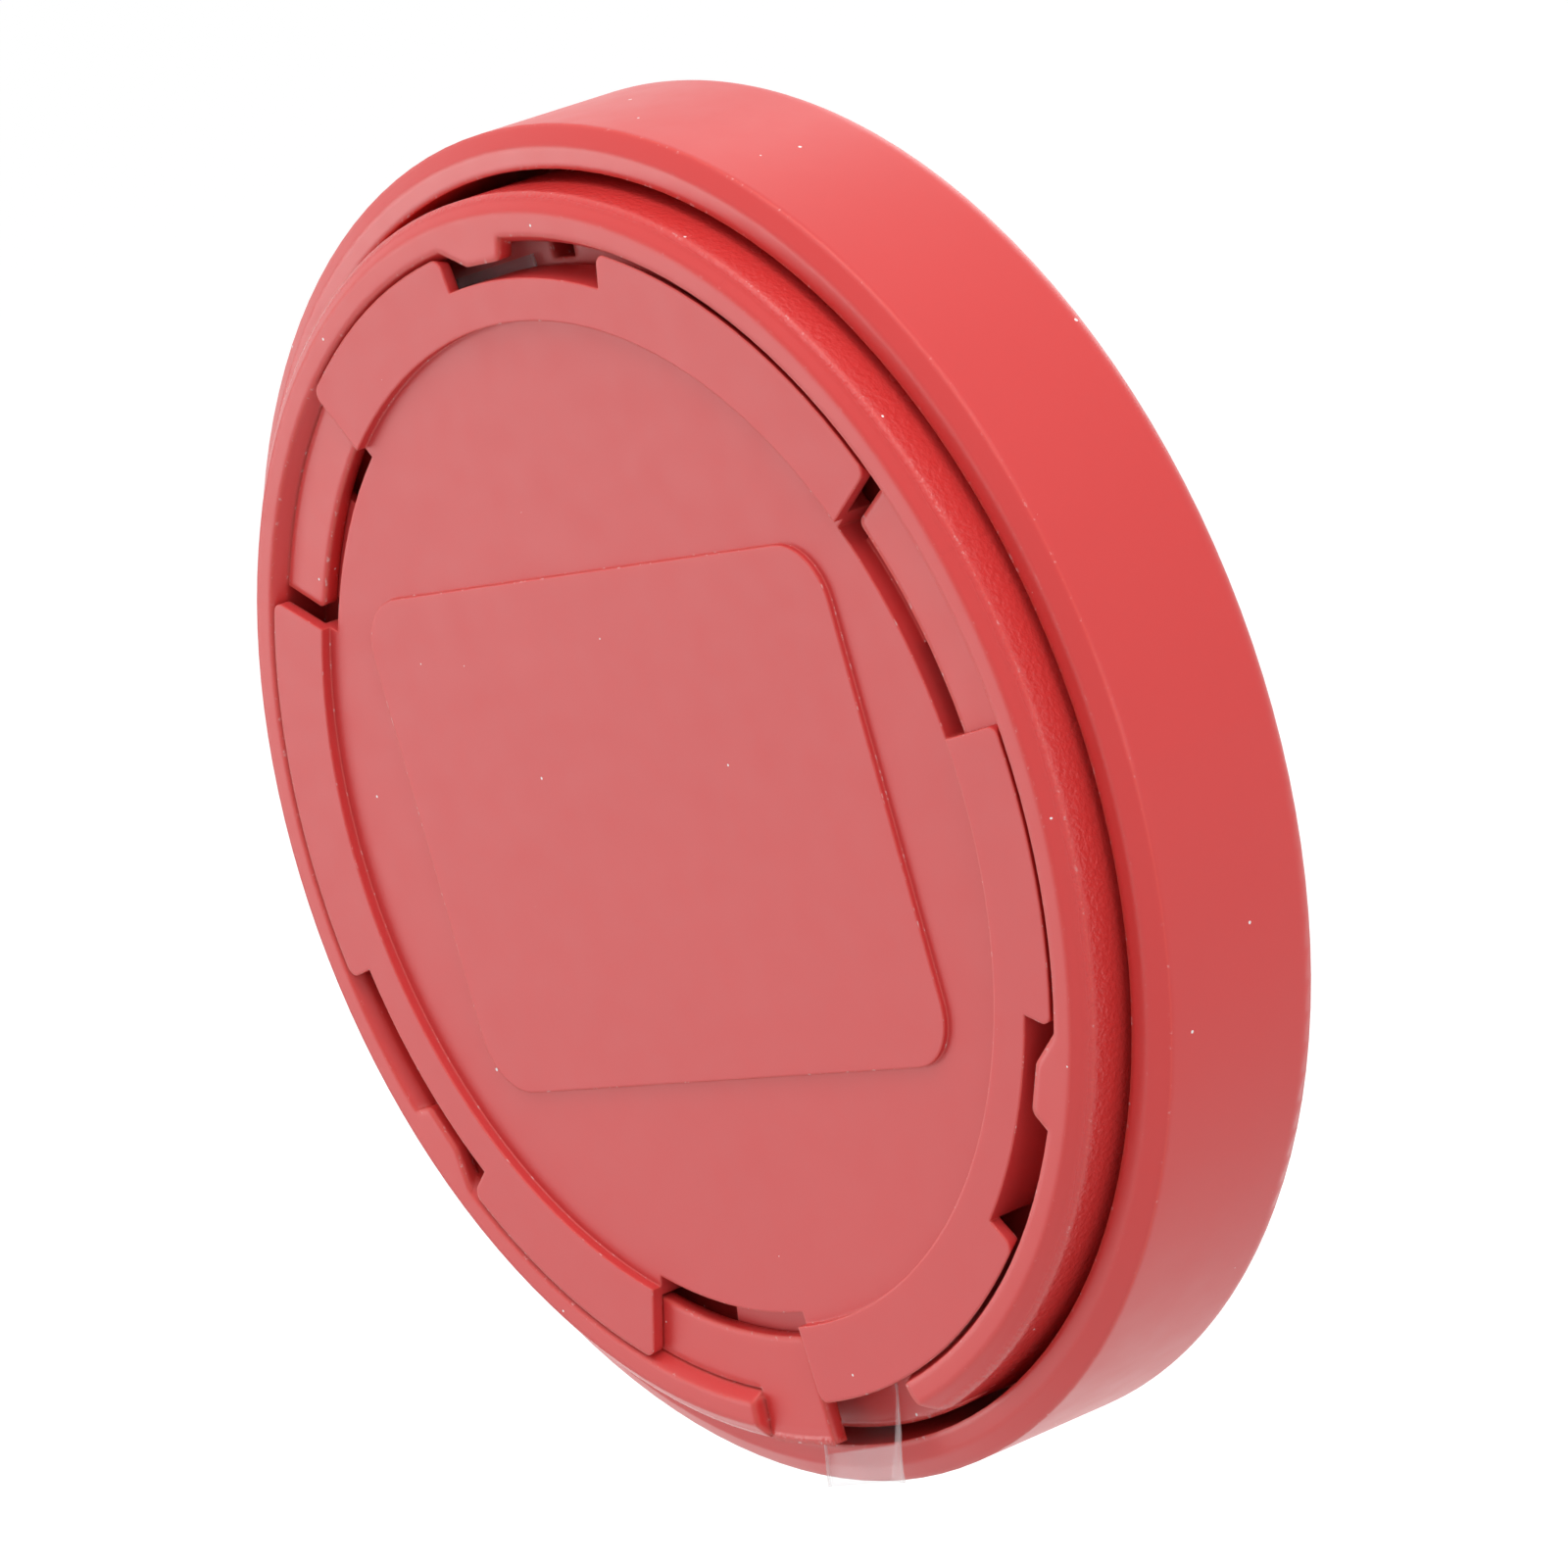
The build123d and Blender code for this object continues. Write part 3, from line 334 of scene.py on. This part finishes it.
def red_colour(tree, softened, tone):
    """Cloudy, finely mottled red, with a painted highlight of paler red along the edges, which are also a
    little scuffed.
    """
    clouds = ramp(tree, noise(tree, CLOUD_SCALE, 3.0), 0.2, 0.8)
    colour = mix_colour(tree, clouds, RED_DEEP, RED_PALE)
    mottle = product(tree, noise(tree, MOTTLE_SCALE), MOTTLE_SHARE)
    colour = mix_colour(tree, total(tree, mottle, TONE_SHARE), colour, tone)
    normals = {0: softened, 1: true_normal(tree)}
    flatness = node(tree, "ShaderNodeVectorMath", normals, operation="DOT_PRODUCT").outputs["Value"]
    edges = difference(tree, 1.0, ramp(tree, flatness, *EDGE_FLATNESS))
    # Painted highlight: paler red mixed in along the edges
    colour = mix_colour(tree, product(tree, edges, EDGE_HIGHLIGHT_SHARE), colour, RED_EDGE_HIGHLIGHT)
    scuffs = product(tree, edges, ramp(tree, noise(tree, SCUFF_SCALE, 2.0, 0.6), 0.60, 0.72))
    return mix_colour(tree, product(tree, scuffs, SCUFF_SHARE), colour, DUST)


def ring_surface(tree, colour, height, rough):
    """The ring's spark-eroded side wall, its glossier chamfer, and the seams across that."""
    radius, angle = radius_and_angle(tree)
    wall = ramp(tree, radius, *RING_WALL)
    chamfer = ramp(tree, radius, *RING_CHAMFER)
    pits = product(tree, noise(tree, 1 / PIT_SIZE, 2.0, 0.55), wall)
    height = total(tree, height, product(tree, pits, PIT_DEPTH))
    rough = difference(tree, rough, product(tree, wall, RING_GLOSS))
    rough = difference(tree, rough, product(tree, chamfer, RING_GLOSS))
    seams = 0.0
    for seam in SEAM_ANGLES:
        offset = math_node(tree, "ABSOLUTE", difference(tree, angle, math.radians(seam)))
        seams = larger(tree, below(tree, product(tree, offset, radius), SEAM_HALF_WIDTH), seams)
    seams = product(tree, seams, chamfer)
    height = difference(tree, height, product(tree, seams, SEAM_DEPTH))
    return mix_colour(tree, product(tree, seams, SEAM_SHADE), colour, RED_DEEP), height, rough


def red_plastic(name, roughness, grain, bump, edge, dust_share=0.22, tone=RED, ring=False):
    """Satin red moulding: cloudy colour, fine grain, softened edges with a painted highlight, and a little
    dust.
    """
    material, tree, shader = new_material(name)
    softened = rounded_normal(tree, edge)
    colour = red_colour(tree, softened, tone)
    height = product(tree, noise(tree, 1 / grain, 3.0, 0.6), bump)
    uneven = product(tree, noise(tree, GLOSS_SCALE, 3.0), GLOSS_RANGE)
    rough = total(tree, uneven, roughness - GLOSS_RANGE / 2)
    if ring:
        colour, height, rough = ring_surface(tree, colour, height, rough)
    colour = mix_colour(tree, dust_mask(tree, DUST_CELL, DUST_SIZE, dust_share), colour, DUST)
    tree.links.new(colour, shader.inputs["Base Color"])
    tree.links.new(rough, shader.inputs["Roughness"])
    tree.links.new(bumped(tree, height, 1.0, 1.0, softened), shader.inputs["Normal"])
    shader.inputs["IOR"].default_value = RED_IOR
    shader.inputs["Subsurface Weight"].default_value = GLOW_WEIGHT
    shader.inputs["Subsurface Radius"].default_value = GLOW_RADIUS
    shader.inputs["Subsurface Scale"].default_value = GLOW_SCALE
    return material


def clear_film():
    """Polyester: clear over the gap as painted shade, hazed elsewhere, and pale where it curls and at its cut
    edges as a painted highlight.
    """
    material, tree, shader = new_material("clear_film")
    sine, cosine = math.sin(FILM_LEAN), math.cos(FILM_LEAN)
    x, y = FILM_INNER
    reach = along(tree, (-sine, 0, -cosine), x * sine - y * cosine)
    across = along(tree, (-cosine, 0, sine), x * cosine + y * sine)
    widening = FILM_CURL_WIDTH / (FILM_LIP_REACH - FILM_CURL_START)
    curl_width = product(tree, difference(tree, reach, FILM_CURL_START), widening)
    curl = above(tree, across, difference(tree, FILM_HALF_WIDTH, curl_width))
    edge = above(tree, math_node(tree, "ABSOLUTE", across), FILM_HALF_WIDTH - FILM_EDGE)
    scuffs = noise(tree, 1800, 4.0, 0.7)
    tint = mix_colour(tree, ramp(tree, scuffs, 0.4, 0.75), FILM_TINT, FILM_STAIN)
    # Painted highlight: pale tint on the curl and the cut edges
    tint = mix_colour(tree, larger(tree, curl, edge), tint, FILM_HIGHLIGHT_TINT)
    covered = difference(tree, 1.0, ramp(tree, reach, *FILM_COVERED))
    # No haze over the gap and haze beyond the lip: painted shade, the film left clear where it lies in shade
    # in the gap
    dull = larger(tree, ramp(tree, reach, *FILM_OUTSIDE), product(tree, covered, COVERED_HAZE))
    pale = larger(tree, product(tree, curl, CURL_HAZE), product(tree, edge, EDGE_HAZE))
    haze = product(tree, larger(tree, dull, pale), total(tree, product(tree, scuffs, 0.3), 0.85))
    alpha = math_node(tree, "ADD", product(tree, haze, FILM_HAZE), FILM_CLEAR, clamp=True)
    uneven = product(tree, ramp(tree, noise(tree, 420, 3.0), 0.35, 0.8), 0.15)
    tree.links.new(tint, shader.inputs["Base Color"])
    tree.links.new(total(tree, uneven, 0.12), shader.inputs["Roughness"])
    tree.links.new(alpha, shader.inputs["Alpha"])
    tree.links.new(bumped(tree, noise(tree, 500), 0.01 * MM, 0.6), shader.inputs["Normal"])
    shader.inputs["IOR"].default_value = 1.45
    return material


def clear_plastic():
    """Clear moulded light pipe, slightly milky."""
    material, tree, shader = new_material("clear_plastic")
    cloud = mix_colour(tree, noise(tree, 900, 3.0), (0.92, 0.90, 0.89), (0.98, 0.97, 0.96))
    tree.links.new(cloud, shader.inputs["Base Color"])
    tree.links.new(total(tree, product(tree, noise(tree, 1500), 0.1), 0.12), shader.inputs["Roughness"])
    shader.inputs["Transmission Weight"].default_value = 0.85
    shader.inputs["IOR"].default_value = 1.49
    return material


def metal(name, dark, light, roughness):
    """Plated metal with drawn grain and a soft stain."""
    material, tree, shader = new_material(name)
    drawn = node(tree, "ShaderNodeMapping", {"Vector": place(tree), "Scale": METAL_STRETCH}).outputs[0]
    lines = noise(tree, 1 / METAL_GRAIN, 4.0, 0.7, drawn)
    colour = mix_colour(tree, ramp(tree, lines, 0.3, 0.7), dark, light)
    colour = mix_colour(tree, product(tree, noise(tree, 300, 3.0), 0.3), colour, dark)
    normal = bumped(tree, lines, METAL_BUMP, 0.7, rounded_normal(tree, SMALL_EDGE))
    tree.links.new(colour, shader.inputs["Base Color"])
    tree.links.new(total(tree, product(tree, lines, 0.18), roughness), shader.inputs["Roughness"])
    tree.links.new(normal, shader.inputs["Normal"])
    shader.inputs["Metallic"].default_value = 1.0
    return material


def solid_colour(name, dark, light, roughness, grain, bump, flecks):
    """Moulded, coated or fired surface: mottled colour, uneven gloss and fine bumps."""
    material, tree, shader = new_material(name)
    grains = noise(tree, 1 / grain, 3.0, 0.6)
    colour = mix_colour(tree, ramp(tree, grains, 0.3, 0.7), dark, light)
    if flecks:
        colour = mix_colour(tree, dust_mask(tree, FLECK_CELL, FLECK_SIZE, flecks), colour, DUST)
    normal = bumped(tree, grains, bump, 0.8, rounded_normal(tree, SMALL_EDGE))
    tree.links.new(colour, shader.inputs["Base Color"])
    tree.links.new(total(tree, product(tree, grains, 0.15), roughness), shader.inputs["Roughness"])
    tree.links.new(normal, shader.inputs["Normal"])
    return material


def film_depth(reach):
    """Depth of the film's middle along its length, with its bends eased."""
    samples = []
    for shift in (-1.0, -0.5, 0.0, 0.5, 1.0):
        at = min(max(reach + shift * FILM_BEND, FILM_REACHES[0]), FILM_REACHES[-1])
        span = max(i for i in range(len(FILM_REACHES) - 1) if at >= FILM_REACHES[i])
        share = (at - FILM_REACHES[span]) / (FILM_REACHES[span + 1] - FILM_REACHES[span])
        samples.append(FILM_DEPTHS[span] + share * (FILM_DEPTHS[span + 1] - FILM_DEPTHS[span]))
    return sum(samples) / len(samples)


def film_point(reach, across, lift):
    """A point of the film in the row's frame; lift is toward the viewer behind."""
    x = FILM_INNER[0] + reach * math.sin(FILM_LEAN) + across * math.cos(FILM_LEAN)
    y = FILM_INNER[1] - reach * math.cos(FILM_LEAN) + across * math.sin(FILM_LEAN)
    return Vector((-x, lift - film_depth(reach), y))


def film_curl(reach, across):
    """Rise of the film's right edge, which starts at the door and widens to the end."""
    share = max(0.0, (reach - FILM_CURL_START) / (FILM_LIP_REACH - FILM_CURL_START))
    width = FILM_CURL_WIDTH * max(share, 0.05)
    edge = max(0.0, (across - FILM_HALF_WIDTH + width) / width)
    return FILM_CURL_RISE * min(share, 1.0) * edge ** FILM_CURL_POWER


def film_layer(rows, side):
    """The points of the film's upper or lower face."""
    points = []
    for reach in rows:
        near_end = max(0.0, (reach - FILM_CURL_START) / (rows[-1] - FILM_CURL_START))
        for column in FILM_COLUMNS:
            across = column * FILM_HALF_WIDTH
            skew = FILM_END_SKEW * near_end * (1 + column) / 2
            lift = side * FILM_THICKNESS + film_curl(reach, across)
            points.append(film_point(reach + skew, across, lift))
    return points


def pull_tab():
    """Clear strip over the cell and out of the gap, with a curled edge and a slightly skew cut."""
    end = FILM_REACHES[-1]
    rows = [end * i / FILM_COARSE_STEPS for i in range(FILM_COARSE_ROWS)]
    rows += [rows[-1] + (end - rows[-1]) * (i + 1) / FILM_FINE_ROWS for i in range(FILM_FINE_ROWS)]
    vertices = film_layer(rows, 0.5) + film_layer(rows, -0.5)
    width, length = len(FILM_COLUMNS), len(rows)
    lower = width * length
    faces = []
    for row in range(length - 1):
        for column in range(width - 1):
            start = row * width + column
            quad = (start, start + 1, start + width + 1, start + width)
            faces.append(quad[::-1])
            faces.append(tuple(corner + lower for corner in quad))
    rim = list(range(width))
    rim += [row * width + width - 1 for row in range(1, length)]
    rim += [(length - 1) * width + column for column in range(width - 2, -1, -1)]
    rim += [row * width for row in range(length - 2, 0, -1)]
    for first, second in zip(rim, rim[1:] + rim[:1]):
        faces.append((first, second, second + lower, first + lower))
    mesh = bpy.data.meshes.new("pull_tab_strip")
    mesh.from_pydata(vertices, [], faces)
    mesh.update()
    for polygon in mesh.polygons:
        polygon.use_smooth = True
    mesh.materials.append(clear_film())
    strip = bpy.data.objects.new("pull_tab_strip", mesh)
    scene.collection.objects.link(strip)
    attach(strip, "pull_tab")
    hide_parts("pull_tab_film")


def dress_nodes():
    """Every CAD node but the film keeps its shape and gets its own finish."""
    finishes = {
        "red_cap": red_plastic("red_cap", 0.34, 0.10 * MM, 0.0012 * MM, 0.34 * MM),
        "red_ring": red_plastic("red_ring", 0.42, 0.10 * MM, 0.0014 * MM, 0.40 * MM, ring=True),
        # The door's red is a painted sheen on its rear faces
        "red_door": red_plastic("red_door", 0.46, 0.09 * MM, 0.0022 * MM, 0.13 * MM, dust_share=0.12,
                                tone=REAR_RED_PAINTED_SHEEN),
        "clear_plastic": clear_plastic(),
    }
    for name, look in METALS.items():
        finishes[name] = metal(name, *look)
    for name, look in SOLIDS.items():
        finishes[name] = solid_colour(name, *look)
    for name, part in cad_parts.items():
        if name == "pull_tab_film":
            continue
        kind = name if name in FINISH_OF else name.rsplit("_", 1)[0]
        for slot in part.material_slots:
            slot.material = finishes[FINISH_OF[kind]]


def seen_rays(tree):
    """1 for rays from the camera, straight, mirrored or through a clear piece."""
    path = node(tree, "ShaderNodeLightPath").outputs
    seen = larger(tree, path["Is Camera Ray"], path["Is Glossy Ray"])
    return larger(tree, seen, path["Is Transmission Ray"])


def floor_and_world():
    """Pale floor that keeps a faint shadow, under an even white surrounding."""
    turns = [2 * math.pi * i / FLOOR_SIDES for i in range(FLOOR_SIDES)]
    points = [(FLOOR_RADIUS * math.cos(turn), FLOOR_RADIUS * math.sin(turn), FLOOR_Z) for turn in turns]
    mesh = bpy.data.meshes.new("floor")
    mesh.from_pydata(points, [], [tuple(range(FLOOR_SIDES))])
    floor = bpy.data.objects.new("floor", mesh)
    scene.collection.objects.link(floor)
    material, tree, shader = new_material("floor_white")
    tree.nodes.remove(shader)
    diffuse = node(tree, "ShaderNodeBsdfDiffuse", {"Color": (*FLOOR_GREY, 1)})
    strength = product(tree, seen_rays(tree), FLOOR_GLOW)
    glow = node(tree, "ShaderNodeEmission", {"Color": (*WHITE, 1), "Strength": strength})
    both = node(tree, "ShaderNodeAddShader", {0: diffuse.outputs[0], 1: glow.outputs[0]})
    tree.links.new(both.outputs[0], tree.nodes["Material Output"].inputs["Surface"])
    mesh.materials.append(material)
    world = bpy.data.worlds.new("studio")
    world.use_nodes = True
    scene.world = world
    tree = world.node_tree
    strength = total(tree, product(tree, seen_rays(tree), 1 - AMBIENT), AMBIENT)
    tree.nodes["Background"].inputs["Color"].default_value = (*WHITE, 1)
    tree.links.new(strength, tree.nodes["Background"].inputs["Strength"])


def softbox(name, place_at, size, watts):
    """Square area light that faces the button."""
    data = bpy.data.lights.new(name, "AREA")
    data.shape = "SQUARE"
    data.size = size
    data.energy = watts
    lamp = bpy.data.objects.new(name, data)
    lamp.location = place_at
    lamp.rotation_mode = "QUATERNION"
    lamp.rotation_quaternion = Vector(place_at).to_track_quat("Z", "Y")
    scene.collection.objects.link(lamp)


set_camera()
floor_and_world()
for lamp_name, lamp_facts in SOFTBOXES.items():
    softbox(lamp_name, *lamp_facts)
dress_nodes()
pull_tab()
scene.view_settings.view_transform = "Standard"
